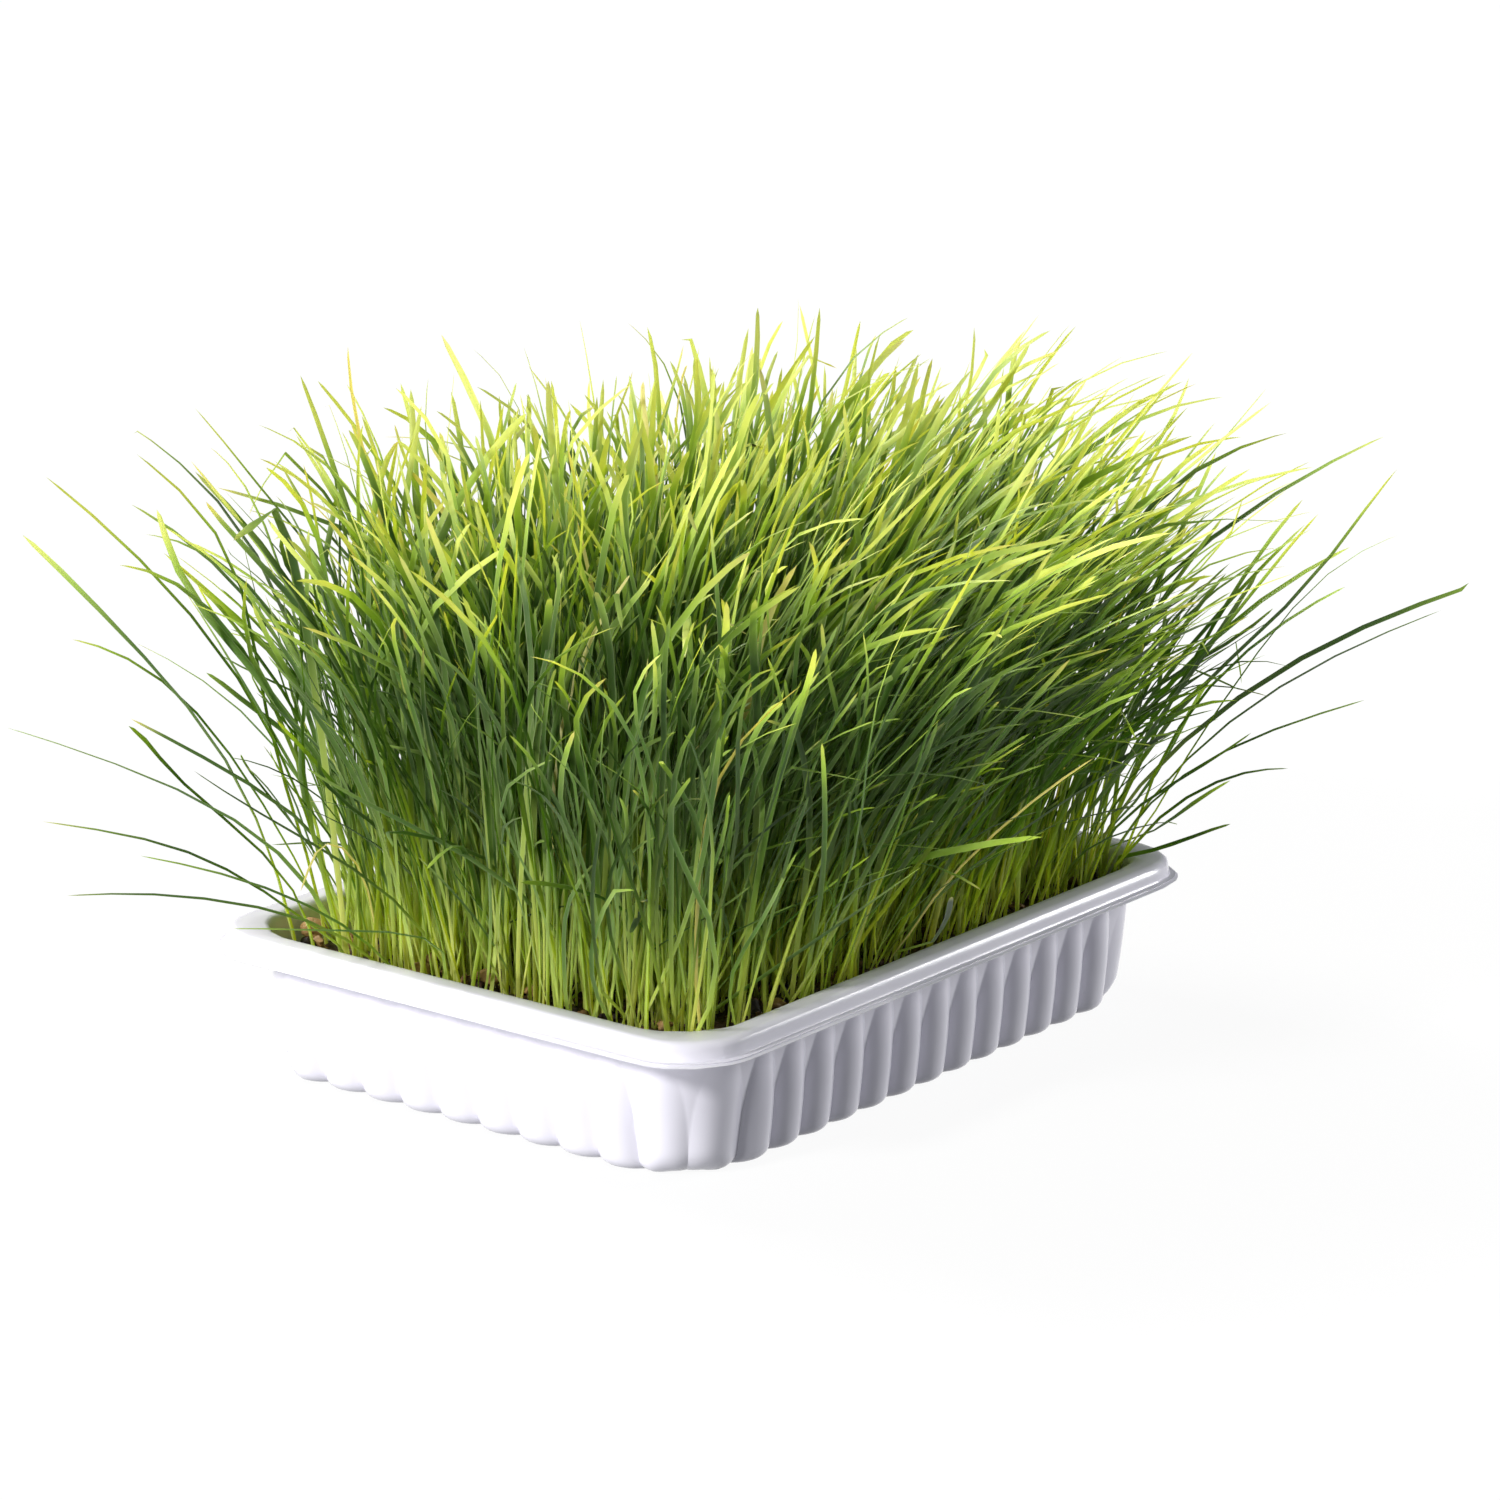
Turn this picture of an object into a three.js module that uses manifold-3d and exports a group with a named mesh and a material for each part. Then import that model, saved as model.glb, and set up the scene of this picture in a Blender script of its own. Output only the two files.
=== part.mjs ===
// Wheatgrass tray: a ribbed plastic tray, filled with substrate, that dense young grass fans out of.
// Millimetres, +Z up. The origin is the middle of the tray's flat base, with +X along its long side.
import * as THREE from 'three';
import { mergeVertices } from 'three/addons/utils/BufferGeometryUtils.js';
import Module from 'manifold-3d';

const wasm = await Module();
wasm.setup();

// Driving dimensions of the tray: the lip's edge is its widest outline
const TRAY_LENGTH = 187;
const TRAY_WIDTH = 144;
const TRAY_HEIGHT = 33.5;
const WALL = 1;
const CLEARANCE = 0.3;

// Rim: a flat top, an outer skirt turned down from it, and a small lip turned out at the skirt's foot
const LIP_WIDTH = 2;
const LIP_UNDER = 28.7;
const LIP_CORNER = 17;
const SKIRT_DRAFT = 0.3;
const RIM_FILLET = 1;
const RIM_INSET = 8.85;
const CORNER_STEPS = 8;

// Body: a drafted wall, with near-upright half-column ribs that stand out of it and meet in cusps
const FOOT_INSET = 12.64;
const FOOT_CORNER = 11;
const FOOT_FILLET = 3;
const CUSP_HEIGHT = 1.5;
const DRAFT = (FOOT_INSET + WALL - RIM_INSET) / (TRAY_HEIGHT - CUSP_HEIGHT);
const RIB_TOP = 27;
const RIB_DEPTH = 3.1;
const CORNER_COLUMN_DEPTH = 1.5;
const VALLEY = 0.4;
const LONG_RIBS = { count: 13, pitch: 10.38 };
const SHORT_RIBS = { count: 9, pitch: 11.04 };
const TURNED_RIB = { count: 1, pitch: 11.04, depth: CORNER_COLUMN_DEPTH };
const FIRST_CUSP_X = -65.7;
const BODY_LEVELS = [0, 0.5, FOOT_FILLET, 14, 22, RIB_TOP, TRAY_HEIGHT - WALL / 2];
const BODY_TURN = FOOT_INSET + FOOT_CORNER;
const FADED_RIB_SHARE = 0.25;

// Substrate and the plain holes that the tufts' root crowns stand in
const SOIL_TOP = 24.6;
const CHUNKS = 38;
const CHUNK_RADIUS = [2, 4.2];
const CHUNK_SQUASH = [0.5, 0.8];
const CHUNK_SUNK = [0.2, 1];
const CHUNK_EDGE = 6;
const HOLE_RADIUS = 8;
const HOLE_DEPTH = 7;
const HOLE_FLARE = 1.4;

// Grass: tufts on a grid over the substrate, a few blades each
const TUFTS_LONG = 8;
const TUFTS_WIDE = 6;
const TUFT_SPACING = [20.6, 20.3];
const TUFT_JITTER = 0.8;
const BLADES_PER_TUFT = 6;
const ROOT_RING = 5;
const MIDDLE_ROOT = [0, 1.5];
const ROOT_RING_SHARE = [0.8, 1];
const ROOT_ANGLE_JITTER = 0.5;
const ROOT_SUNK = 2.2;
const CROWN_RISE = 0.9;
const CROWN_TAPER = 1.2;
const CROWN_SIDES = 6;
const BLADE_HEIGHT = 124;
const BLADE_WIDTH = 2.5;
const BLADE_FOOT_SHARE = 0.8;
const BLADE_BELLY_SHARE = 0.35;
const BLADE_KEEL = 0.9;
const BLADE_SEGMENTS = 4;
const LINE_POINTS = 20;
const BLADE_GAP = 2.95;
const BLADE_TWIST = 0.9;
const RIM_GAP = 1.5;
const TRIES = 90;

// How blades lean: the fan's reach along x and y, down and up each axis, and how each blade strays from it.
// Blades are a little shorter towards the edges, and more so along the front.
const SPREAD_DOWN = [20, 42];
const SPREAD_UP = [30, 22];
const FAN_POWER = 1.4;
const WANDER = 15;
const EDGE_DROOP = 0.07;
const NEAR_DROOP = 0.16;
const HEIGHT_SHARE = [0.74, 1.05];
const BEND_RISE = 0.62;
const BEND_OUT = 0.16;

// Long loose blades that reach past the rest: where each is rooted, and where its tip ends
const STRAYS = [
  [[-76, 54], [-115, 95, 121]], [[-72, 44], [-107, 92, 132]], [[-75, 38], [-130, 80, 85]],
  [[-79, 32], [-139, 74, 68]], [[-79, 23], [-137, 65, 52]], [[-66, 55], [-90, 86, 136]],
  [[78, -47], [125, -123, 99]], [[74, -54], [116, -118, 93]], [[77, -40], [128, -90, 102]],
  [[70, -56], [100, -105, 74]], [[15, -5], [28, -9, 162]], [[50, 5], [90, -25, 153]],
  [[-38, 52], [-41, 65, 155]], [[5, 40], [-5, 40, 148]], [[75, -12], [118, -40, 135]],
  [[76, -25], [121, -57, 128]], [[60, 54], [85, 115, 96]], [[-20, 55], [-32, 118, 101]],
  [[79, 20], [135, 38, 91]], [[79, -5], [138, -12, 105]],
];

const SOIL_HALF_LENGTH = TRAY_LENGTH / 2 - RIM_INSET - WALL;
const SOIL_HALF_WIDTH = TRAY_WIDTH / 2 - RIM_INSET - WALL;

const MERGE_GAP = 1e-4;

const MATERIALS = {
  tray: new THREE.MeshStandardMaterial({ color: 0xeeeef4, roughness: 0.4, metalness: 0 }),
  soil: new THREE.MeshStandardMaterial({ color: 0x3b2a1d, roughness: 0.95, metalness: 0 }),
  grass: new THREE.MeshStandardMaterial({ color: 0x6f9f2c, roughness: 0.5, metalness: 0 }),
};

// A seeded draw, so that the part is the same each time
let seed = 20611;
function draw(low, high) {
  seed = (seed * 1664525 + 1013904223) % 4294967296;
  return low + ((high - low) * seed) / 4294967296;
}

function solidFrom(geometry) {
  geometry.deleteAttribute('normal');
  geometry.deleteAttribute('uv');
  const merged = mergeVertices(geometry, MERGE_GAP);
  const vertProperties = new Float32Array(merged.attributes.position.array);
  const triVerts = new Uint32Array(merged.index.array);
  return new wasm.Manifold(new wasm.Mesh({ numProp: 3, vertProperties, triVerts }));
}

function meshFrom(name, solid, material) {
  const { vertProperties, triVerts } = solid.getMesh();
  const geometry = new THREE.BufferGeometry();
  geometry.setAttribute('position', new THREE.BufferAttribute(new Float32Array(vertProperties), 3));
  geometry.setIndex(new THREE.BufferAttribute(new Uint32Array(triVerts), 1));
  geometry.computeVertexNormals();
  const mesh = new THREE.Mesh(geometry, material);
  mesh.name = name;
  return mesh;
}

// A closed solid through rings of equal length, listed from the bottom up, with a flat cap at each end
function loft(rings) {
  const sides = rings[0].length;
  const points = rings.flat();
  const index = [];
  for (let level = 0; level + 1 < rings.length; level += 1) {
    for (let k = 0; k < sides; k += 1) {
      const next = (k + 1) % sides;
      const [a, b] = [level * sides + k, level * sides + next];
      index.push(a, b, b + sides, a, b + sides, a + sides);
    }
  }
  const capCentre = (ring) => {
    const centre = ring.reduce((sum, p) => sum.add(p), new THREE.Vector3());
    return centre.divideScalar(sides);
  };
  const top = (rings.length - 1) * sides;
  points.push(capCentre(rings[0]), capCentre(rings[rings.length - 1]));
  for (let k = 0; k < sides; k += 1) {
    const next = (k + 1) % sides;
    index.push(points.length - 2, next, k);
    index.push(points.length - 1, top + k, top + next);
  }
  const geometry = new THREE.BufferGeometry().setFromPoints(points);
  geometry.setIndex(index);
  return solidFrom(geometry);
}

// A rounded rectangle, counterclockwise from above, set in from the lip's edge. Its corners turn
// about points that lie a given distance in from that edge.
function outline(turn, inset, z) {
  const reach = [TRAY_LENGTH / 2 - turn, TRAY_WIDTH / 2 - turn];
  const corner = turn - inset;
  const points = [];
  const quarters = [[1, -1], [1, 1], [-1, 1], [-1, -1]];
  quarters.forEach(([sx, sy], quarter) => {
    for (let step = 0; step <= CORNER_STEPS; step += 1) {
      const angle = (Math.PI / 2) * (quarter - 1 + step / CORNER_STEPS);
      const x = sx * reach[0] + corner * Math.cos(angle);
      points.push(new THREE.Vector3(x, sy * reach[1] + corner * Math.sin(angle), z));
    }
  });
  return points;
}

// The line of the cusps round the body's foot: the point at a distance along it, and the way out
function footPath(distance) {
  const straightX = 2 * (TRAY_LENGTH / 2 - FOOT_INSET - FOOT_CORNER);
  const straightY = 2 * (TRAY_WIDTH / 2 - FOOT_INSET - FOOT_CORNER);
  const arc = (Math.PI / 2) * FOOT_CORNER;
  const half = straightX + straightY + 2 * arc;
  let along = distance + FIRST_CUSP_X + straightX / 2;
  const turned = Math.floor(along / half) % 2 ? -1 : 1;
  along %= half;
  let [x, y, angle] = [along - straightX / 2, -straightY / 2, -Math.PI / 2];
  if (along > straightX + arc) {
    const second = along - straightX - arc;
    angle = Math.max(0, (second - straightY) / FOOT_CORNER);
    [x, y] = [straightX / 2, Math.min(second, straightY) - straightY / 2];
  } else if (along > straightX) {
    angle += (along - straightX) / FOOT_CORNER;
    x = straightX / 2;
  }
  const out = new THREE.Vector3(Math.cos(angle), Math.sin(angle), 0);
  const point = new THREE.Vector3(x, y, 0).addScaledVector(out, FOOT_CORNER);
  return { point: point.multiplyScalar(turned), out: out.multiplyScalar(turned) };
}

// Each rib's place along the foot, its half width there, and how far it stands out of the wall. Those that
// turn with a corner, the column and the rib before it, stand out less.
function ribs() {
  const corner = TRAY_LENGTH - 2 * FOOT_INSET + TRAY_WIDTH - 2 * FOOT_INSET - (4 - Math.PI) * FOOT_CORNER;
  const ribbed = LONG_RIBS.count * LONG_RIBS.pitch + SHORT_RIBS.count * SHORT_RIBS.pitch + TURNED_RIB.pitch;
  const column = { count: 1, pitch: (corner - ribbed) / 2, depth: CORNER_COLUMN_DEPTH };
  const list = [];
  let along = 0;
  const side = [LONG_RIBS, column, SHORT_RIBS, TURNED_RIB, column];
  for (const run of [...side, ...side]) {
    for (let k = 0; k < run.count; k += 1) {
      list.push({ centre: along + run.pitch / 2, half: run.pitch / 2, depth: run.depth ?? RIB_DEPTH });
      along += run.pitch;
    }
  }
  return list;
}

// The body's outside at one height. A rib is an arc in plan, and the drafted wall narrows it upwards.
function bodyRing(z, ribList) {
  const wall = (z - CUSP_HEIGHT) * DRAFT;
  const wallAtTop = (RIB_TOP - CUSP_HEIGHT) * DRAFT;
  const below = Math.max(0, FOOT_FILLET - z);
  const fillet = FOOT_FILLET - Math.sqrt(FOOT_FILLET ** 2 - below ** 2);
  const points = [];
  for (const rib of ribList) {
    const radius = (rib.half ** 2 + rib.depth ** 2) / (2 * rib.depth);
    const crest = rib.depth + ((wallAtTop - rib.depth) * (z - CUSP_HEIGHT)) / (RIB_TOP - CUSP_HEIGHT);
    const rise = Math.max(0, crest - wall);
    const width = Math.sqrt(Math.max(0, 2 * radius * rise - rise ** 2));
    const half = Math.min(Math.max(width, rib.half * FADED_RIB_SHARE), rib.half - VALLEY / 2);
    for (const share of [-1, -0.5, 0, 0.5, 1]) {
      const side = share * half;
      const bulge = Math.max(0, rise - radius + Math.sqrt(radius ** 2 - side ** 2));
      const { point, out } = footPath(rib.centre + side);
      point.addScaledVector(out, wall + bulge - fillet);
      points.push(point.setZ(z));
    }
  }
  return points;
}

function tray() {
  const ribList = ribs();
  const body = loft(BODY_LEVELS.map((z) => bodyRing(z, ribList)));
  const skirt = LIP_WIDTH + SKIRT_DRAFT;
  const halfway = RIM_FILLET * (1 - Math.SQRT1_2);
  const rim = loft([
    [skirt + WALL, TRAY_HEIGHT - WALL],
    [LIP_WIDTH + WALL, LIP_UNDER],
    [0, LIP_UNDER],
    [0, LIP_UNDER + WALL],
    [LIP_WIDTH, LIP_UNDER + WALL],
    [skirt, TRAY_HEIGHT - RIM_FILLET],
    [skirt + halfway, TRAY_HEIGHT - halfway],
    [skirt + RIM_FILLET, TRAY_HEIGHT],
  ].map(([inset, z]) => outline(LIP_CORNER, inset, z)));
  const brim = outline(BODY_TURN, RIM_INSET - RIM_FILLET / 2, TRAY_HEIGHT + WALL);
  return body.add(rim).subtract(loft([...cavity(TRAY_HEIGHT - RIM_FILLET / 2, 0), brim]));
}

// The tray's inside up to a height, shrunk all round by a gap for what fills it
function cavity(top, gap) {
  const inset = (z) => FOOT_INSET + WALL + gap - (z - CUSP_HEIGHT) * DRAFT;
  const [floor, foot] = [WALL + gap, FOOT_FILLET + gap];
  return [
    outline(BODY_TURN, inset(floor) + FOOT_FILLET - WALL, floor),
    outline(BODY_TURN, inset(foot), foot),
    outline(BODY_TURN, inset(top), top),
  ];
}

// Substrate level with the tufts' feet, with coarse chunks half sunk in its top
function soil(crowns) {
  let solid = loft(cavity(SOIL_TOP, CLEARANCE));
  for (let k = 0; k < CHUNKS; k += 1) {
    const chunk = new THREE.IcosahedronGeometry(draw(...CHUNK_RADIUS), 0);
    chunk.rotateX(draw(0, Math.PI)).rotateZ(draw(0, Math.PI)).scale(1, 1, draw(...CHUNK_SQUASH));
    const [x, y] = [SOIL_HALF_LENGTH, SOIL_HALF_WIDTH].map((half) => draw(CHUNK_EDGE - half, half - CHUNK_EDGE));
    chunk.translate(x, y, SOIL_TOP - draw(...CHUNK_SUNK));
    const pastTurnX = Math.max(0, Math.abs(x) - TRAY_LENGTH / 2 + BODY_TURN);
    const pastTurnY = Math.max(0, Math.abs(y) - TRAY_WIDTH / 2 + BODY_TURN);
    const corner = pastTurnX > 0 && pastTurnY > 0 && Math.hypot(pastTurnX, pastTurnY) > FOOT_CORNER - WALL;
    if (!corner) solid = solid.add(solidFrom(chunk));
  }
  return crowns.reduce((filled, crown) => filled.subtract(hole(crown)), solid);
}

// A plain hole in the substrate, flared above it so that no chunk stands in the way of a leaning blade
function hole({ x, y }) {
  const flareTop = SOIL_TOP + CHUNK_RADIUS[1];
  const profile = [[0, SOIL_TOP - HOLE_DEPTH], [HOLE_RADIUS, SOIL_TOP - HOLE_DEPTH], [HOLE_RADIUS, SOIL_TOP]];
  profile.push([HOLE_RADIUS + HOLE_FLARE * CHUNK_RADIUS[1], flareTop], [0, flareTop]);
  const points = profile.map(([radius, z]) => new THREE.Vector2(radius, z));
  return solidFrom(new THREE.LatheGeometry(points, CROWN_SIDES).rotateX(Math.PI / 2).translate(x, y, 0));
}

// A tuft's root crown: a low plug of knitted roots that the blades stand in
function crownSolid({ x, y }) {
  const radius = HOLE_RADIUS - CLEARANCE / Math.cos(Math.PI / CROWN_SIDES);
  const height = HOLE_DEPTH - CLEARANCE + CROWN_RISE;
  const plug = new THREE.CylinderGeometry(radius - CROWN_TAPER, radius, height, CROWN_SIDES);
  return solidFrom(plug.rotateX(Math.PI / 2).translate(x, y, SOIL_TOP + CROWN_RISE - height / 2));
}

function crownPlaces() {
  const places = [];
  for (let row = 0; row < TUFTS_WIDE; row += 1) {
    for (let column = 0; column < TUFTS_LONG; column += 1) {
      const x = (column - (TUFTS_LONG - 1) / 2) * TUFT_SPACING[0] + draw(-TUFT_JITTER, TUFT_JITTER);
      const y = (row - (TUFTS_WIDE - 1) / 2) * TUFT_SPACING[1] + draw(-TUFT_JITTER, TUFT_JITTER);
      places.push({ x, y, blades: [] });
    }
  }
  return places;
}

// A blade's middle line: it leaves the roots nearly upright and bends over towards its tip
function middleLine(root, tip) {
  const lift = BEND_RISE * Math.max(tip.z - root.z, BEND_RISE * root.distanceTo(tip));
  const knee = root.clone().lerp(tip, BEND_OUT).setZ(root.z + lift);
  return new THREE.QuadraticBezierCurve3(root, knee, tip);
}

// The tips fan outwards, more so the nearer the blade is to the tray's edge
function drawnTip(root) {
  const [u, v] = [root.x / SOIL_HALF_LENGTH, root.y / SOIL_HALF_WIDTH];
  const fan = (share) => Math.sign(share) * Math.abs(share) ** FAN_POWER;
  const edge = Math.min(1, Math.hypot(u, v));
  const droop = EDGE_DROOP * edge ** 2 + NEAR_DROOP * Math.max(0, -v) ** 2;
  const height = BLADE_HEIGHT * (1 - droop) * draw(...HEIGHT_SHARE);
  const x = root.x + (u < 0 ? SPREAD_DOWN : SPREAD_UP)[0] * fan(u) + draw(-WANDER, WANDER);
  const y = root.y + (v < 0 ? SPREAD_DOWN : SPREAD_UP)[1] * fan(v) + draw(-WANDER, WANDER);
  return new THREE.Vector3(x, y, root.z + height);
}

function gapBetween(line, other) {
  let least = Infinity;
  for (const a of line) {
    for (let k = 0; k + 1 < other.length; k += 1) {
      const piece = new THREE.Line3(other[k], other[k + 1]);
      least = Math.min(least, piece.closestPointToPoint(a, true, new THREE.Vector3()).distanceTo(a));
    }
  }
  return least;
}

// A blade stays inside the rim until it is above it, and passes other tufts' blades without touching
function isClear(line, crowns) {
  const reachX = TRAY_LENGTH / 2 - RIM_INSET - BLADE_WIDTH / 2 - CLEARANCE;
  const reachY = TRAY_WIDTH / 2 - RIM_INSET - BLADE_WIDTH / 2 - CLEARANCE;
  const low = line.filter((point) => point.z < TRAY_HEIGHT + RIM_GAP);
  if (low.some(({ x, y }) => Math.abs(x) > reachX || Math.abs(y) > reachY)) return false;
  return crowns.every((crown) => crown.blades.every(({ fine }) => gapBetween(line, fine) > BLADE_GAP));
}

function addBlade(home, crowns, root, tip) {
  const curve = middleLine(root, tip);
  const fine = curve.getPoints(LINE_POINTS);
  if (!isClear(fine, crowns)) return false;
  home.blades.push({ curve, fine });
  return true;
}

function rootAt(home, angle, ring) {
  const [x, y] = [home.x + ring * Math.cos(angle), home.y + ring * Math.sin(angle)];
  return new THREE.Vector3(x, y, SOIL_TOP + CROWN_RISE - ROOT_SUNK);
}

function plantStrays(crowns) {
  for (const [[x, y], tip] of STRAYS) {
    const away = (crown) => Math.hypot(crown.x - x, crown.y - y);
    const home = crowns.reduce((best, crown) => (away(crown) < away(best) ? crown : best));
    const angle = Math.atan2(y - home.y, x - home.x);
    const root = rootAt(home, angle, Math.min(ROOT_RING, away(home)));
    addBlade(home, crowns, root, new THREE.Vector3(...tip));
  }
}

function plantBlades(crowns) {
  for (let k = 0; k < BLADES_PER_TUFT; k += 1) {
    for (const home of crowns) {
      for (let attempt = 0; attempt < TRIES; attempt += 1) {
        const angle = (Math.PI * 2 * k) / (BLADES_PER_TUFT - 1) + draw(-ROOT_ANGLE_JITTER, ROOT_ANGLE_JITTER);
        const ring = k === 0 ? draw(...MIDDLE_ROOT) : draw(...ROOT_RING_SHARE) * ROOT_RING;
        const root = rootAt(home, angle, ring);
        if (addBlade(home, crowns, root, drawnTip(root))) break;
      }
    }
  }
}

// A blade is a strip with a raised keel along its back, three-sided all the way and drawn to a point
function bladeSolid({ curve }) {
  const points = [];
  const index = [];
  const lean = curve.v2.clone().sub(curve.v0).setZ(0).normalize();
  const turn = draw(-BLADE_TWIST, BLADE_TWIST);
  for (let k = 0; k < BLADE_SEGMENTS; k += 1) {
    const share = k / BLADE_SEGMENTS;
    const along = curve.getTangent(share);
    const across = new THREE.Vector3(-lean.y, lean.x, 0).applyAxisAngle(along, turn * (1 + share));
    across.addScaledVector(along, -across.dot(along)).normalize();
    const back = new THREE.Vector3().crossVectors(along, across);
    const middle = curve.getPoint(share);
    const width = BLADE_WIDTH * (BLADE_FOOT_SHARE + BLADE_BELLY_SHARE * Math.sin(Math.PI * share));
    points.push(middle.clone().addScaledVector(across, width / 2));
    points.push(middle.clone().addScaledVector(back, BLADE_KEEL));
    points.push(middle.clone().addScaledVector(across, -width / 2));
  }
  for (let k = 0; k + 1 < BLADE_SEGMENTS; k += 1) {
    for (let side = 0; side < 3; side += 1) {
      const [a, b] = [3 * k + side, 3 * k + ((side + 1) % 3)];
      index.push(a, b, b + 3, a, b + 3, a + 3);
    }
  }
  const last = 3 * (BLADE_SEGMENTS - 1);
  points.push(curve.getPoint(1));
  for (let side = 0; side < 3; side += 1) index.push(last + side, last + ((side + 1) % 3), points.length - 1);
  index.push(0, 2, 1);
  const geometry = new THREE.BufferGeometry().setFromPoints(points);
  geometry.setIndex(index);
  return solidFrom(geometry);
}

function tuft(crown) {
  return crown.blades.reduce((solid, blade) => solid.add(bladeSolid(blade)), crownSolid(crown));
}

const part = new THREE.Group();
const crowns = crownPlaces();
plantStrays(crowns);
plantBlades(crowns);
part.add(meshFrom('tray', tray(), MATERIALS.tray));
part.add(meshFrom('soil', soil(crowns), MATERIALS.soil));
crowns.forEach((crown, k) => {
  part.add(meshFrom(`grass_tuft_${String(k + 1).padStart(2, '0')}`, tuft(crown), MATERIALS.grass));
});

export default part;
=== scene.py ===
"""Wheatgrass tray: a ribbed white plastic tray, filled with coarse substrate, full of dense young wheatgrass.

Sizes are in millimetres here, and become metres where a mesh is written. The frame is the CAD model's:
the origin is the middle of the tray's flat base, with +X along its long side and +Z up.
"""
import math

import bpy
import numpy as np
from mathutils import Matrix, Vector


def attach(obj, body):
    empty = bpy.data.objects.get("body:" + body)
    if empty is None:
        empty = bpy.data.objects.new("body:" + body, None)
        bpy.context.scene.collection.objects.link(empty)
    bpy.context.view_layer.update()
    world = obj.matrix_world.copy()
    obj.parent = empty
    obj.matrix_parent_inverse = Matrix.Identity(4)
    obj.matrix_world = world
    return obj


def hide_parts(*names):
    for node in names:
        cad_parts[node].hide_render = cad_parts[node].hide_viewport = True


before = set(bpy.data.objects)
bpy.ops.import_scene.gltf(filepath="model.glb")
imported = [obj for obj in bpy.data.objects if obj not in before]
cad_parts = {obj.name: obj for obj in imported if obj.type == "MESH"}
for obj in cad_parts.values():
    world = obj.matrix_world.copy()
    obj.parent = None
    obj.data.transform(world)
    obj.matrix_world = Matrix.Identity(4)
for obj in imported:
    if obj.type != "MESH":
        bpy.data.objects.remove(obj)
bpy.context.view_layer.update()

MM = 0.001

# Tray: the lip's edge is its widest outline
HALF_LENGTH = 93.5
HALF_WIDTH = 72.0
TRAY_HEIGHT = 33.5
SHELL = 0.8
LIP_TURN = 17.0
FOOT_INSET = 12.64
FOOT_CORNER = 11.0
FOOT_FILLET = 3.0
CORNER_FOOT_FILLET = 6.0
CORNER_BLEND = 1.4
BODY_TURN = FOOT_INSET + FOOT_CORNER
CUSP_HEIGHT = 1.5
DRAFT = 0.1503
BASE_INSETS = (36.0, 26.0, 21.0)
BASE_SHEET_INSET = 35.0
WELD = 0.002
TRAY_EDGE_ANGLE = 38.0

# Ribs round the tray's body
RIB_TOP = 27.0
RIB_DEPTH = 3.1
RIB_FULLNESS = 2.4
CORNER_RIB_DEPTH = 1.5
CORNER_SOFTNESS = 0.9
VALLEY = 0.4
CREASE = 0.35
CREASE_SHARE = 0.15
LEAST_GAP = 0.05
LONG_RIBS = 13
LONG_PITCH = 10.38
SHORT_RIBS = 9
SHORT_PITCH = 11.04
FIRST_CUSP_X = -65.7
RIB_SHARES = (-0.75, -0.5, -0.25, 0.0, 0.25, 0.5, 0.75)
WALL_LEVELS = (0.0, 0.15, 0.5, 1.0, 1.6, 2.3, 3.1, 4.0, 5.0, 6.2, 7.5, 9.0, 10.5, 12.0, 13.5, 15.0, 16.5,
               18.0, 19.3, 20.6, 21.8, 22.9, 23.9, 24.8, 25.6, 26.3, 27.0, 27.8, 29.0, 30.4, 31.4)
# Under the rim: inset from the lip's edge and height, first on the body's corners, then on the lip's
UNDER_RIM = ((8.02, 32.0), (7.75, 32.45), (7.2, 32.7))
RIM = ((6.0, 32.7), (4.3, 32.7), (3.7, 32.6), (3.3, 32.3), (3.1, 31.8), (3.0, 31.0), (2.9, 30.2),
       (2.78, 29.5), (2.5, 29.0), (2.1, 28.76), (1.5, 28.7), (0.6, 28.7), (0.12, 28.75), (0.0, 28.95))

# Substrate bed
SOIL_TOP = 24.6
SOIL_GAP = 0.45
SOIL_HALF_LENGTH = 83.65
SOIL_HALF_WIDTH = 62.15
BED_CELLS = (150, 110)
BED_FLOOR = 1.6
BED_FLOOR_BEND = 3.0
BED_SIDE_STEPS = 4
BED_EDGE_ANGLE = 50.0
BED_SUNK = 0.9
# Lumps in its top: seed, number of waves, their length and their height
BED_LUMPS = ((3, 9, 16.0, 0.35), (4, 11, 5.0, 0.3), (5, 11, 2.6, 0.2))
HEAP_HEIGHT = 3.2
HEAP_FROM_WALL = 9.0
HEAP_WIDTH = 12.0
WALL_DROP = 1.2
WALL_DROP_FROM = 0.93
WALL_DROP_BAND = 0.07
FAR_CORNER = (-83.0, 62.0)
FAR_CORNER_DROP = 1.2
FAR_CORNER_AREA = 160.0

# Loose bits of bark and coir. Those seen in the photograph: x, y, z and size
SEEN_CHUNKS = ((-67.5, 6.3, 28.4, 2.9), (-67.2, 58.6, 29.2, 2.7), (-67.0, 47.3, 28.4, 2.1),
               (-71.9, 22.2, 28.2, 2.2), (-70.3, 53.6, 28.2, 1.9), (-64.6, 25.3, 28.4, 2.0),
               (-68.4, -7.1, 28.4, 2.2), (-69.1, -43.2, 28.2, 1.9))
SEEN_SHADE = 0.64
NEAR_CHUNKS = 90
NEAR_SIZES = (1.2, 2.5)
NEAR_BAND = 16.0
LARGE_CRUMBS = 150
LARGE_SIZES = (1.1, 2.6)
SMALL_CRUMBS = 1500
SMALL_SIZES = (0.4, 1.1)
BITS_HALF_LENGTH = 81.0
BITS_HALF_WIDTH = 59.5
BITS_TURN = 12.0
BITS_CORNER = 11.5
BIT_SHADES = (0.1, 0.55)
LIGHTER_BY = 0.2
LIGHTER_ABOVE = 0.8
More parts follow.
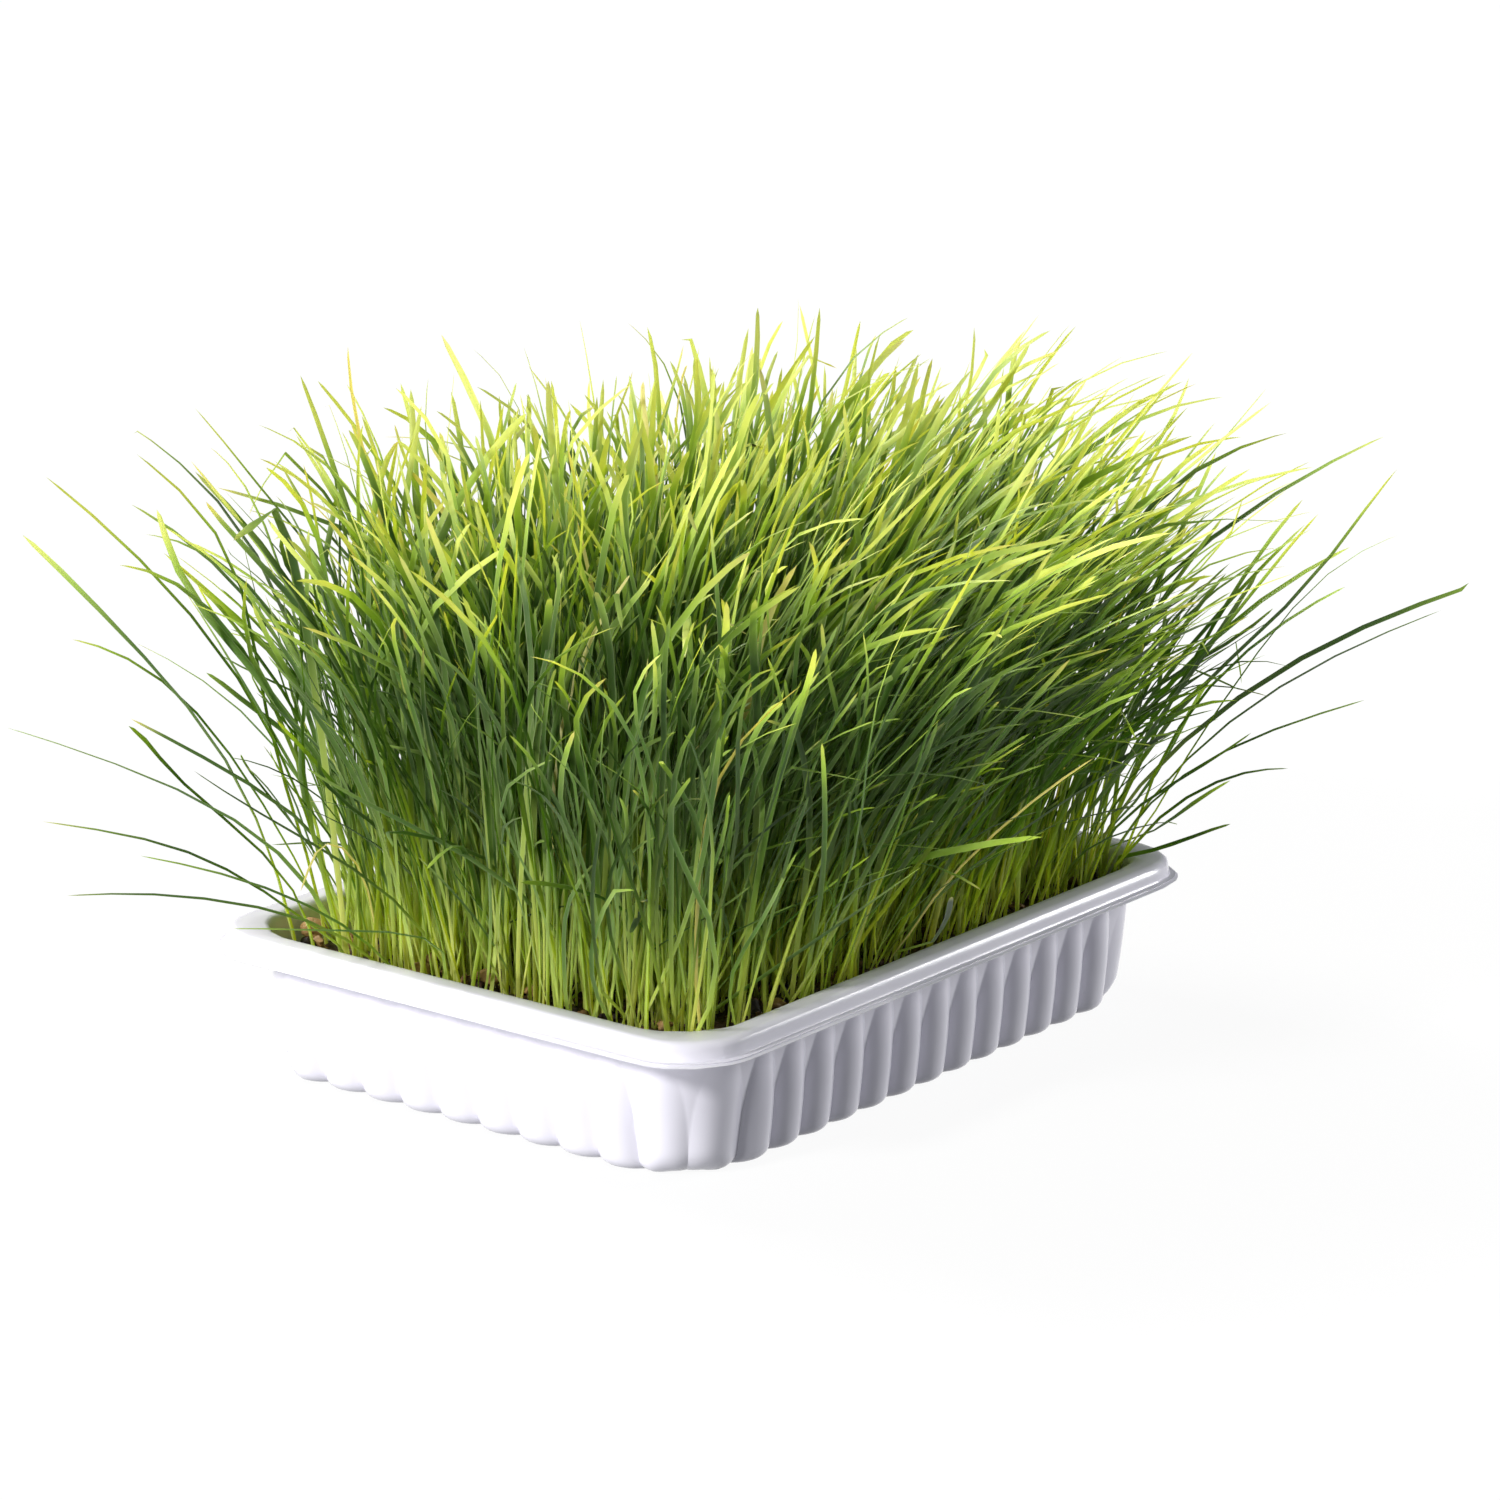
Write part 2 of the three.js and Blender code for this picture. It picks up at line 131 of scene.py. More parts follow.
# How high and how closely set a bit's own lumps are
BIT_LUMPS = ((0.13, 2.2), (0.05, 6.5))
BIT_WIDTHS = (0.55, 1.0)
BIT_HEIGHTS = (0.45, 0.85)
BIT_FLATTENED = 0.8
BIT_RISE = 0.25
BIT_EDGE_ANGLE = 42.0

# Grass: one tuft of blades for each patch of the tray
TUFTS_LONG = 8
TUFTS_WIDE = 6
TUFT_SPACING = (20.6, 20.3)
TUFT_JITTER = 0.8
PLACE_SEED = 20611
DRAW_FACTOR = 1664525
DRAW_STEP = 1013904223
DRAW_RANGE = 4294967296
GRASS_SEED = 700
ROOTS_ACROSS = 5
ROOT_JITTER = 1.3
BLADES_A_ROOT = 4
ROOT_SIZE = 0.6
ROOT_SUNK = 2.2
# Where the grass stands thinner: by the far left corner, along the two near walls, and a little all over
BARE_CORNER = (-84.0, 63.0)
BARE_CORNER_SHARE = 2.2
BARE_CORNER_AREA = 560.0
BARE_WALL_SHARE = 0.93
BARE_WALL_BAND = 24.0
BARE_SHARE = 0.12
# Blades are held inside the rim until they stand this far above it
RIM_CLEAR = 1.8
HELD_INSET = 10.9
HELD_CORNER = 12.5

# How far up and out the blades reach, as shares of a full blade
BLADE_HEIGHT = 124.0
BLADE_SHARE = (0.55, 0.56)
BLADE_SHARE_DRAW = (1.7, 2.0)
SHORT_CHANCE = 0.36
SHORT_SHARES = (0.5, 0.95)
REACH_SHARE = (0.45, 0.55)
LOOSE_SHARE = 0.95
SPREAD_DOWN = (28.0, 42.0)
SPREAD_UP = (30.0, 22.0)
FAN_POWER = 1.4
WANDER = 15.0
TIPS_FROM = (-138.0, -122.0)
TIPS_TO = (137.0, 117.0)
EDGE_DROOP = 0.07
NEAR_DROOP = 0.16
FALLEN_ABOVE = 0.972
FALLEN_TURN = 0.7
FALLEN_REACH = (35, 65)
FALLEN_SHARES = (0.3, 0.6)
# Inside the mass the blades lean over this way, most of all in the near right part
LEAN_WAY = (0.62, -0.78)
INNER_LEAN = 34.0
INNER_POWER = 5
LEAN_FROM = -40.0
LEAN_BAND = 50.0
LEAN_SEEDS = (21, 22)
LEAN_WAVES = 5
LEAN_WAVE_LENGTH = 55.0
LEAN_WAVE = 6

# How a blade bends
KNEE_WANDER = 8.0
BEND_RISES = (0.48, 0.92)
BEND_OUT = (0.0, 0.3)
LOOSE_RISE = 0.62
LOOSE_OUT = 0.16
SWAY = 3.8
SWAY_TURNS = (1.2, 2.4)
FOLDED_CHANCE = 0.045
FOLD_RINGS = (7, 10)
FOLD_TURNS = (0.7, 1.8)
FACING_WANDER = 0.8
TWIST = 0.9

# A blade's section: rings from its foot to its tip, with shares of its width and its half thickness
BLADE_WIDTH = (0.8, 1.85)
NARROWEST_SHARE = 0.55
LOOSE_WIDTH = 1.4
BLADE_RINGS = (0.0, 0.08, 0.18, 0.3, 0.43, 0.56, 0.69, 0.81, 0.91, 0.975, 1.0)
WIDTH_SHARES = (0.74, 0.7, 0.73, 0.84, 0.96, 1.0, 1.0, 0.98, 0.9, 0.64, 0.0)
HALF_THICKNESS = (0.9, 0.8, 0.6, 0.34, 0.2, 0.15, 0.13, 0.12, 0.1, 0.08, 0.0)
THICKNESS_WIDTH = 2.6
CUP_SHARES = (0.0, 0.03, 0.1, 0.2, 0.24, 0.24, 0.22, 0.17, 0.1, 0.05, 0.0)
BLADE_EDGE_ANGLE = 85.0

# How a blade is coloured
TINT = (0.5, 0.3)
ENDED_CHANCE = 0.22
ENDED_SHARES = (0.3, 1.0)
ENDED_FROM = 0.93
ENDED_BAND = 0.07
DRY_CHANCE = 0.004
DRY_SHARE = 0.85

# Long loose blades: where each is rooted, and where its tip ends
STRAYS = (
    ((-76, 54), (-115, 95, 121)), ((-72, 44), (-107, 92, 132)), ((-75, 38), (-130, 80, 85)),
    ((-79, 32), (-139, 74, 68)), ((-79, 23), (-137, 65, 52)), ((-66, 55), (-90, 86, 136)),
    ((78, -47), (125, -123, 99)), ((74, -54), (116, -118, 93)), ((77, -40), (128, -90, 102)),
    ((70, -56), (100, -105, 74)), ((15, -5), (28, -9, 162)), ((50, 5), (90, -25, 153)),
    ((-38, 52), (-41, 65, 155)), ((5, 40), (-5, 40, 148)), ((75, -12), (118, -40, 135)),
    ((76, -25), (121, -57, 128)), ((60, 54), (85, 115, 96)), ((-20, 55), (-32, 118, 101)),
    ((79, 20), (135, 38, 91)), ((79, -5), (138, -12, 105)), ((-79, 45), (-117, 70, 85)),
    ((-79, 18), (-122, 55, 59)), ((79, -52), (88, -82, 42)),
)

# Colours. A tone is a row of stops, each with its place and its red, green and blue
PLASTIC_TONE = ((0.3, (0.785, 0.77, 0.865)), (0.7, (0.845, 0.83, 0.92)))
SUBSTRATE_TONE = ((0.3, (0.012, 0.007, 0.004)), (0.5, (0.05, 0.024, 0.011)), (0.66, (0.13, 0.062, 0.024)),
                  (0.8, (0.36, 0.21, 0.075)))
# Along a blade from its foot to its tip, on the freshest blades and on the deepest green ones. The light
# yellow-green at the tip is partly the blade's own colour and partly painted light from behind
FRESH_TONE = ((0.0, (0.66, 0.72, 0.20)), (0.14, (0.56, 0.68, 0.15)), (0.34, (0.25, 0.40, 0.08)),
              (0.6, (0.16, 0.30, 0.06)), (0.86, (0.52, 0.67, 0.16)), (1.0, (0.74, 0.80, 0.30)))
DEEP_TONE = ((0.0, (0.58, 0.62, 0.18)), (0.14, (0.44, 0.54, 0.12)), (0.36, (0.15, 0.25, 0.06)),
             (0.66, (0.08, 0.165, 0.045)), (0.9, (0.34, 0.48, 0.13)), (1.0, (0.58, 0.65, 0.27)))
STRAW_COLOUR = (0.78, 0.74, 0.42, 1.0)
# Pale blade margins: partly the blade's own paler edge, partly a painted highlight for glints along the edges
MARGIN_AND_GLINT_COLOUR = (0.72, 0.82, 0.42, 1.0)
LIT_THROUGH = (1.6, 1.5, 0.85, 1.0)
TINT_SHIFT = 0.16
# Painted light and shade: the tone moves on with height in the tray, lighter and yellower high in the mass
# and darker lower down, between these heights in metres
PAINTED_LIGHT_SPAN = (0.085, 0.132)
PAINTED_LIGHT_SHIFT = (-0.18, 0.13)
VEINS = 7
FLOOR_COLOUR = (0.07, 0.07, 0.072, 1)
SURROUNDINGS = (0.93, 0.96, 1.0, 1)

# Camera, found from the tray's cusps and rim in the photograph
CAMERA_PLACE = (-758.1, -604.8, 325.5)
CAMERA_RIGHT = (0.6163, -0.7875, 0.0)
CAMERA_UP = (0.2040, 0.1596, 0.9659)
CAMERA_BACK = (-0.7606, -0.5953, 0.2590)
CAMERA_LENS = 108.37


# Helpers

def deselect():
    """Leave object mode with nothing selected."""
    if bpy.context.object and bpy.context.object.mode != "OBJECT":
        bpy.ops.object.mode_set(mode="OBJECT")
    bpy.ops.object.select_all(action="DESELECT")


def only(piece):
    """Select this piece alone."""
    deselect()
    piece.select_set(True)
    bpy.context.view_layer.objects.active = piece


def named(name):
    """Name the object that was just added."""
    piece = bpy.context.object
    piece.name = name
    piece.data.name = name
    return piece


def edit_points(piece, chosen):
    """Go into edit mode with only the chosen vertices selected."""
    only(piece)
    bpy.ops.object.mode_set(mode="EDIT")
    bpy.ops.mesh.select_mode(type="VERT")
    bpy.ops.mesh.select_all(action="DESELECT")
    bpy.ops.object.mode_set(mode="OBJECT")
    piece.data.vertices.foreach_set("select", chosen)
    bpy.ops.object.mode_set(mode="EDIT")
    bpy.ops.mesh.select_mode(type="VERT")


def apply_all(piece):
    """Apply every modifier of the piece."""
    only(piece)
    for modifier in list(piece.modifiers):
        bpy.ops.object.modifier_apply(modifier=modifier.name)


def points_of(mesh):
    """A mesh's vertices as an array."""
    points = np.empty(len(mesh.vertices) * 3)
    mesh.vertices.foreach_get("co", points)
    return points.reshape(-1, 3)


def set_points(mesh, points):
    """Write vertices, given in metres."""
    mesh.vertices.foreach_set("co", np.ascontiguousarray(points, dtype=np.float64).ravel())
    mesh.update()


def taken_form(form):
    """The points and faces of a form that is only copied from, which is then deleted."""
    points = points_of(form.data)
    faces = [tuple(face.vertices) for face in form.data.polygons]
    only(form)
    bpy.ops.object.delete()
    return points, faces


def smooth(piece, degrees):
    """Smooth shading, with edges sharper than this kept."""
    only(piece)
    bpy.ops.object.shade_smooth_by_angle(angle=math.radians(degrees))


def finish_piece(piece, slot, material, *nodes):
    """Give a piece its body, the CAD nodes it stands for and its finish. The slot is not used."""
    piece.data.materials.clear()
    piece.data.materials.append(material)
    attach(piece, "root")
    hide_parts(*nodes)


# Materials

def new_material(name):
    """A node material with its node tree and its shader."""
    material = bpy.data.materials.new(name)
    material.use_nodes = True
    return material, material.node_tree, material.node_tree.nodes["Principled BSDF"]


def give(tree, socket, value):
    """Link a socket to another node's output, or set it to a number or a colour."""
    if isinstance(value, bpy.types.NodeSocket):
        tree.links.new(value, socket)
    else:
        socket.default_value = value


def own_place(tree):
    """The piece's own coordinates."""
    return tree.nodes.new("ShaderNodeTexCoord").outputs["Object"]


def noise(tree, place, scale, detail=2.0, roughness=0.5):
    """A noise pattern over the piece."""
    pattern = tree.nodes.new("ShaderNodeTexNoise")
    for name, value in (("Vector", place), ("Scale", scale), ("Detail", detail), ("Roughness", roughness)):
        give(tree, pattern.inputs[name], value)
    return pattern.outputs["Fac"]


def calculated(tree, operation, *values, clamp=False):
    """The result of a Math node on these values, each a number or an output."""
    made = tree.nodes.new("ShaderNodeMath")
    made.operation = operation
    made.use_clamp = clamp
    for socket, value in zip(made.inputs, values):
        give(tree, socket, value)
    return made.outputs[0]


def mapped(tree, value, span, result):
    """A value's span mapped on to a span of results, and held at its ends."""
    made = tree.nodes.new("ShaderNodeMapRange")
    for socket, given in zip(made.inputs, (value, *span, *result)):
        give(tree, socket, given)
    return made.outputs[0]


def toned(tree, value, stops):
    """A value turned into a colour by the stops of a tone."""
    made = tree.nodes.new("ShaderNodeValToRGB")
    elements = made.color_ramp.elements
    while len(elements) < len(stops):
        elements.new(0.5)
    for element, (place, colour) in zip(elements, stops):
        element.position = place
        element.color = (*colour, 1.0)
    give(tree, made.inputs["Fac"], value)
    return made.outputs["Color"]


def blended(tree, share, first, second, blend="MIX"):
    """Two colours blended, from the first to the second."""
    made = tree.nodes.new("ShaderNodeMix")
    made.data_type = "RGBA"
    made.blend_type = blend
    for name, value in (("Factor", share), ("A", first), ("B", second)):
        give(tree, made.inputs[name], value)
    return made.outputs["Result"]


def attribute(tree, name):
    """A number kept on the piece's mesh."""
    made = tree.nodes.new("ShaderNodeAttribute")
    made.attribute_name = name
    return made.outputs["Fac"]


def split_axes(tree, vector):
    """A vector's X, Y and Z outputs."""
    made = tree.nodes.new("ShaderNodeSeparateXYZ")
    give(tree, made.inputs[0], vector)
    return made.outputs


def roughen(tree, shader, height, strength, distance):
    """Raise the surface by a height pattern, with its distance in metres."""
    bump = tree.nodes.new("ShaderNodeBump")
    for name, value in (("Strength", strength), ("Distance", distance), ("Height", height)):
        give(tree, bump.inputs[name], value)
    give(tree, shader.inputs["Normal"], bump.outputs["Normal"])


def plastic_material():
    """Thermoformed white plastic: a satin gloss, faintly uneven where the sheet was stretched."""
    material, tree, shader = new_material("tray white plastic")
    place = own_place(tree)
    stretch = noise(tree, place, 38.0, 3.0)
    give(tree, shader.inputs["Base Color"], toned(tree, stretch, PLASTIC_TONE))
    fine = noise(tree, place, 420.0, 4.0)
    give(tree, shader.inputs["Roughness"], mapped(tree, fine, (0.3, 0.7), (0.17, 0.27)))
    roughen(tree, shader, stretch, 0.12, 0.0006)
    shader.inputs["IOR"].default_value = 1.49
    return material


def substrate_material(name, shaded_bits):
    """Moist coir and bark: dark brown, with lighter and golden bits, some of them shining."""
    material, tree, shader = new_material(name)
    place = own_place(tree)
    grains = noise(tree, place, 520.0, 6.0, 0.7)
    shade = grains
    if shaded_bits:
        shade = calculated(tree, "MULTIPLY_ADD", grains, 0.35, attribute(tree, "shade"))
    give(tree, shader.inputs["Base Color"], toned(tree, shade, SUBSTRATE_TONE))
    wet = noise(tree, place, 160.0)
    give(tree, shader.inputs["Roughness"], mapped(tree, wet, (0.35, 0.65), (0.32, 0.85)))
    roughen(tree, shader, grains, 0.7, 0.0008)
    return material


def grass_material():
    """Young wheatgrass: pale at the foot, deep green, then yellow-green at the tip, partly painted light,
    with fine long veins and pale margins that are partly painted highlights. Painted light and shade makes
    the blades lighter high in the tray and darker lower down.
    """
    material, tree, shader = new_material("wheatgrass blade")
    along = tree.nodes.new("ShaderNodeUVMap")
    along.uv_map = "blade"
    across, rise, _ = split_axes(tree, along.outputs["UV"])
    tint = attribute(tree, "tint")
    level = split_axes(tree, own_place(tree))["Z"]
    by_tint = calculated(tree, "MULTIPLY_ADD", tint, TINT_SHIFT, -TINT_SHIFT / 2)
    # Painted light and shade: blades high in the tray are lighter and yellower, those lower down darker
    painted_light_by_height = mapped(tree, level, PAINTED_LIGHT_SPAN, PAINTED_LIGHT_SHIFT)
    shift = calculated(tree, "MULTIPLY_ADD", painted_light_by_height, rise, by_tint)
    stage = calculated(tree, "ADD", rise, shift, clamp=True)
    # The light yellow-green tip is partly the blade's own colour and partly painted light from behind
    green = blended(tree, tint, toned(tree, stage, DEEP_TONE), toned(tree, stage, FRESH_TONE))
    dried = blended(tree, attribute(tree, "straw"), green, STRAW_COLOUR)
    # Pale margins: partly the blade's own paler edge, partly painted highlights along the edges
    from_middle = calculated(tree, "ABSOLUTE", calculated(tree, "MULTIPLY_ADD", across, 2.0, -1.0))
    edged_and_glinting = blended(tree, mapped(tree, from_middle, (0.72, 1.0), (0.0, 0.5)), dried, MARGIN_AND_GLINT_COLOUR)
    wave = calculated(tree, "SINE", calculated(tree, "MULTIPLY", across, math.tau * VEINS))
    veined = tree.nodes.new("ShaderNodeVectorMath")
    veined.operation = "SCALE"
    give(tree, veined.inputs[0], edged_and_glinting)
    give(tree, veined.inputs["Scale"], mapped(tree, wave, (-1.0, 1.0), (0.86, 1.06)))
    give(tree, shader.inputs["Base Color"], veined.outputs[0])
    shader.inputs["Roughness"].default_value = 0.34
    shader.inputs["IOR"].default_value = 1.45
    shader.inputs["Sheen Weight"].default_value = 0.2
    shader.inputs["Sheen Roughness"].default_value = 0.35
    roughen(tree, shader, wave, 0.2, 0.0002)
    glow = tree.nodes.new("ShaderNodeBsdfTranslucent")
    give(tree, glow.inputs["Color"], blended(tree, 1.0, dried, LIT_THROUGH, "MULTIPLY"))
    through = tree.nodes.new("ShaderNodeMixShader")
    for socket, value in zip(through.inputs, (0.5, shader.outputs[0], glow.outputs[0])):
        give(tree, socket, value)
    give(tree, tree.nodes["Material Output"].inputs["Surface"], through.outputs[0])
    return material


# Tray

def rib_row():
    """The ribs round the tray, each as its middle along the foot, its half pitch and its depth."""
    length = HALF_LENGTH - BODY_TURN
    width = HALF_WIDTH - BODY_TURN
    half_round = 2 * length + 2 * width + math.pi * FOOT_CORNER
    corner_pitch = (half_round - LONG_RIBS * LONG_PITCH - (SHORT_RIBS + 1) * SHORT_PITCH) / 2
    ribs = []
    at = 0.0
    for count, pitch, depth in ((LONG_RIBS, LONG_PITCH, RIB_DEPTH), (1, corner_pitch, CORNER_RIB_DEPTH),
                                (SHORT_RIBS, SHORT_PITCH, RIB_DEPTH), (1, SHORT_PITCH, CORNER_RIB_DEPTH),
                                (1, corner_pitch, CORNER_RIB_DEPTH)) * 2:
        for _ in range(count):
            ribs.append((at + pitch / 2, pitch / 2, depth))
            at += pitch
    return ribs, half_round * 2


def outline_point(distance, around):
    """A point on the foot's outline, as a share of the straight sides and the way out."""
    length = HALF_LENGTH - BODY_TURN
    width = HALF_WIDTH - BODY_TURN
    arc = math.pi / 2 * FOOT_CORNER
    along = np.mod(distance + FIRST_CUSP_X + length, around)
    share = np.zeros((len(along), 2))
    way = np.zeros((len(along), 2))
    start = 0.0
    corner = ((-1, -1), (1, -1), (1, 1), (-1, 1))
    for side in range(4):
        run = 2 * (length, width)[side % 2]
        here = (along >= start) & (along < start + run)
        step = ((along - start) / run)[here, None]
        first = np.array(corner[side], float)
        last = np.array(corner[(side + 1) % 4], float)
        share[here] = first + (last - first) * step
        angle = math.pi / 2 * (side - 1)
        way[here] = (math.cos(angle), math.sin(angle))
        start += run
        here = (along >= start) & (along <= start + arc)
        turned_by = angle + (along[here] - start) / FOOT_CORNER
        share[here] = last
        way[here] = np.stack([np.cos(turned_by), np.sin(turned_by)], 1)
        start += arc
    return share, way


def ring(share, way, turn, inset, height, proud=0.0):
    """Points on a rounded rectangle, inset from the lip's edge, each one moved outwards by proud."""
    half = np.array([HALF_LENGTH - turn, HALF_WIDTH - turn])
    flat = share * half + way * (turn - inset + np.reshape(proud, (-1, 1)))
    return np.column_stack([flat, np.full(len(flat), float(height))])


def wall_ring(ribs, around, height):
    """The body's outer face at one height, with its ribs, and where its points lie round the outline."""
    wall = (height - CUSP_HEIGHT) * DRAFT
    up = min(1.0, max(0.0, (height - CUSP_HEIGHT) / (RIB_TOP - CUSP_HEIGHT)))
    places = []
    proud = []
    for middle, half, depth in ribs:
        radius = (half ** 2 + depth ** 2) / (2 * depth)
        stand = depth * (1 - up ** RIB_FULLNESS)
        soft = (CREASE if depth == RIB_DEPTH else CORNER_SOFTNESS) * min(1.0, stand)
        wide = math.sqrt(max(0.0, 2 * radius * stand - stand ** 2))
        reach = min(max(wide, half / 4), half - VALLEY / 2)
        edge = min(reach + CREASE, half - LEAST_GAP)
        within = reach - min(CREASE, CREASE_SHARE * reach)
        sides = [-half, -edge, -reach, -within, *(share * reach for share in RIB_SHARES), within, reach, edge]
        for side in sides:
            lift = stand - radius + math.sqrt(max(0.0, radius ** 2 - side ** 2))
            places.append(middle + side)
            proud.append((lift + math.sqrt(lift ** 2 + soft ** 2)) / 2 - soft / 2 if stand > 0 else 0.0)
    share, way = outline_point(np.array(places), around)
    cornered = np.clip(2 * np.minimum(abs(way[:, 0]), abs(way[:, 1])) * CORNER_BLEND, 0, 1)
    fillet = FOOT_FILLET + (CORNER_FOOT_FILLET - FOOT_FILLET) * cornered
    drawn_in = fillet - np.sqrt(fillet ** 2 - np.maximum(0, fillet - height) ** 2)
    return ring(share, way, BODY_TURN, FOOT_INSET, height, wall + np.maximum(proud, 0) - drawn_in), share, way


def tray_shell():
    """The tray's outer face from its base to the lip, as one sheet that is then given its thickness."""
    ribs, around = rib_row()
    _, share, way = wall_ring(ribs, around, RIB_TOP + 1)
    rows = [ring(share, way, max(BODY_TURN, inset + 2), inset, 0.0) for inset in BASE_INSETS]
    rows += [wall_ring(ribs, around, height)[0] for height in WALL_LEVELS]
    rows += [ring(share, way, BODY_TURN, inset, height) for inset, height in UNDER_RIM]
    rows += [ring(share, way, LIP_TURN, inset, height) for inset, height in RIM]
    rows = np.array(rows)
    count, columns = rows.shape[:2]
    deselect()
    bpy.ops.mesh.primitive_grid_add(x_subdivisions=columns, y_subdivisions=count - 1, size=2)
    shell = named("tray_shell")
    flat = points_of(shell.data)
    column = np.rint((flat[:, 0] + 1) / 2 * columns).astype(int) % columns
    row = np.rint((flat[:, 1] + 1) / 2 * (count - 1)).astype(int)
    set_points(shell.data, rows[row, column] * MM)
    bpy.ops.object.mode_set(mode="EDIT")
    bpy.ops.mesh.select_all(action="SELECT")
    bpy.ops.mesh.remove_doubles(threshold=WELD * MM)
    bpy.ops.object.mode_set(mode="OBJECT")
    inner_half = (HALF_LENGTH - BASE_SHEET_INSET, HALF_WIDTH - BASE_SHEET_INSET)
    plan = abs(points_of(shell.data)[:, :2])
    edit_points(shell, (plan < np.array(inner_half) * MM).all(axis=1))
    bpy.ops.mesh.edge_face_add()
    bpy.ops.mesh.select_all(action="SELECT")
    bpy.ops.mesh.normals_make_consistent(inside=False)
    bpy.ops.object.mode_set(mode="OBJECT")
    base = max(shell.data.polygons, key=lambda face: face.area)
    if base.normal.z > 0:
        shell.data.flip_normals()
    wall = shell.modifiers.new("wall", "SOLIDIFY")
    wall.thickness = SHELL * MM
    wall.offset = -1
    wall.use_even_offset = True
    apply_all(shell)
    smooth(shell, TRAY_EDGE_ANGLE)
    return shell


# Substrate

def soft_noise(points, seed, waves, length):
    """A smooth random height over the plan, from a few sine waves."""
    random = np.random.RandomState(seed)
    total = np.zeros(len(points))
    for _ in range(waves):
        angle = random.uniform(0, math.tau)
        size = length * random.uniform(0.5, 1.6)
        phase = random.uniform(0, math.tau)
        along = points[:, 0] * math.cos(angle) + points[:, 1] * math.sin(angle)
        total += np.sin(along / size * math.tau + phase)
    return total / math.sqrt(waves)


def rounded_plan(u, v, half_x, half_y, corner):
    """Spread a square from -1 to 1 over a rounded rectangle."""
    x = u * half_x
    y = v * half_y
    over_x = np.abs(x) - (half_x - corner)
    over_y = np.abs(y) - (half_y - corner)
    cornered = (over_x > 0) & (over_y > 0)
    reach = np.maximum(over_x, over_y)
    angle = np.arctan2(np.maximum(over_y, 0), np.maximum(over_x, 0))
    x = np.where(cornered, np.sign(x) * (half_x - corner + reach * np.cos(angle)), x)
    y = np.where(cornered, np.sign(y) * (half_y - corner + reach * np.sin(angle)), y)
    return x, y


def from_near_wall(x, y):
    """How far a place lies from the closer of the two near walls."""
    return np.minimum(x + SOIL_HALF_LENGTH, y + SOIL_HALF_WIDTH)


def bed_height(x, y):
    """How high the substrate lies: lumpy, heaped near the two near walls, and lower right at the walls."""
    points = np.stack([x, y], 1)
    lumps = sum(height * soft_noise(points, seed, waves, length) for seed, waves, length, height in BED_LUMPS)
    edge = np.maximum(abs(x) / SOIL_HALF_LENGTH, abs(y) / SOIL_HALF_WIDTH)
    wall_drop = WALL_DROP * np.clip((edge - WALL_DROP_FROM) / WALL_DROP_BAND, 0, 1)
    far_corner = np.exp(-((x - FAR_CORNER[0]) ** 2 + (y - FAR_CORNER[1]) ** 2) / FAR_CORNER_AREA)
    heap = HEAP_HEIGHT * np.exp(-((from_near_wall(x, y) - HEAP_FROM_WALL) / HEAP_WIDTH) ** 2)
    return SOIL_TOP - BED_SUNK + lumps + heap - wall_drop - FAR_CORNER_DROP * far_corner


def substrate_bed():
    """The bed: a lumpy top that is drawn down along the tray's wall to its floor and closed there."""
    deselect()
    bpy.ops.mesh.primitive_grid_add(x_subdivisions=BED_CELLS[0], y_subdivisions=BED_CELLS[1], size=2)
    bed = named("substrate_bed")
    flat = points_of(bed.data)
    inset = FOOT_INSET - (SOIL_TOP - CUSP_HEIGHT) * DRAFT + SHELL + SOIL_GAP
    half_x = HALF_LENGTH - inset
    half_y = HALF_WIDTH - inset
    x, y = rounded_plan(flat[:, 0], flat[:, 1], half_x, half_y, BODY_TURN - inset)
    set_points(bed.data, np.stack([x, y, bed_height(x, y)], 1) * MM)
    low_inset = FOOT_INSET + SHELL + SOIL_GAP + FOOT_FILLET
    step = 1 / BED_SIDE_STEPS
    narrower = (((HALF_LENGTH - low_inset) / half_x) ** step, ((HALF_WIDTH - low_inset) / half_y) ** step, 1)
    drop = (SOIL_TOP - BED_FLOOR - BED_FLOOR_BEND) / BED_SIDE_STEPS * MM
    edit_points(bed, (np.abs(flat) > 0.9999).any(axis=1))
    for _ in range(BED_SIDE_STEPS):
        bpy.ops.mesh.extrude_edges_move()
        bpy.ops.transform.translate(value=(0, 0, -drop))
        bpy.ops.transform.resize(value=narrower, center_override=(0, 0, 0))
    bpy.ops.transform.resize(value=(1, 1, 0), center_override=(0, 0, BED_FLOOR * MM))
    bpy.ops.mesh.edge_face_add()
    bpy.ops.mesh.select_all(action="SELECT")
    bpy.ops.mesh.normals_make_consistent(inside=False)
    bpy.ops.object.mode_set(mode="OBJECT")
    smooth(bed, BED_EDGE_ANGLE)
    return bed


def bit_form(name, cuts):
    """One rounded bit, from which all the bits of its size are copied."""
    deselect()
    bpy.ops.mesh.primitive_ico_sphere_add(subdivisions=cuts, radius=1)
    return taken_form(named(name))


def turned(points, random):
    """Turn a set of points at random."""
    turn = Matrix.Rotation(random.uniform(0, math.tau), 3, Vector(random.normal(size=3)).normalized())
    return points @ np.array(turn).T


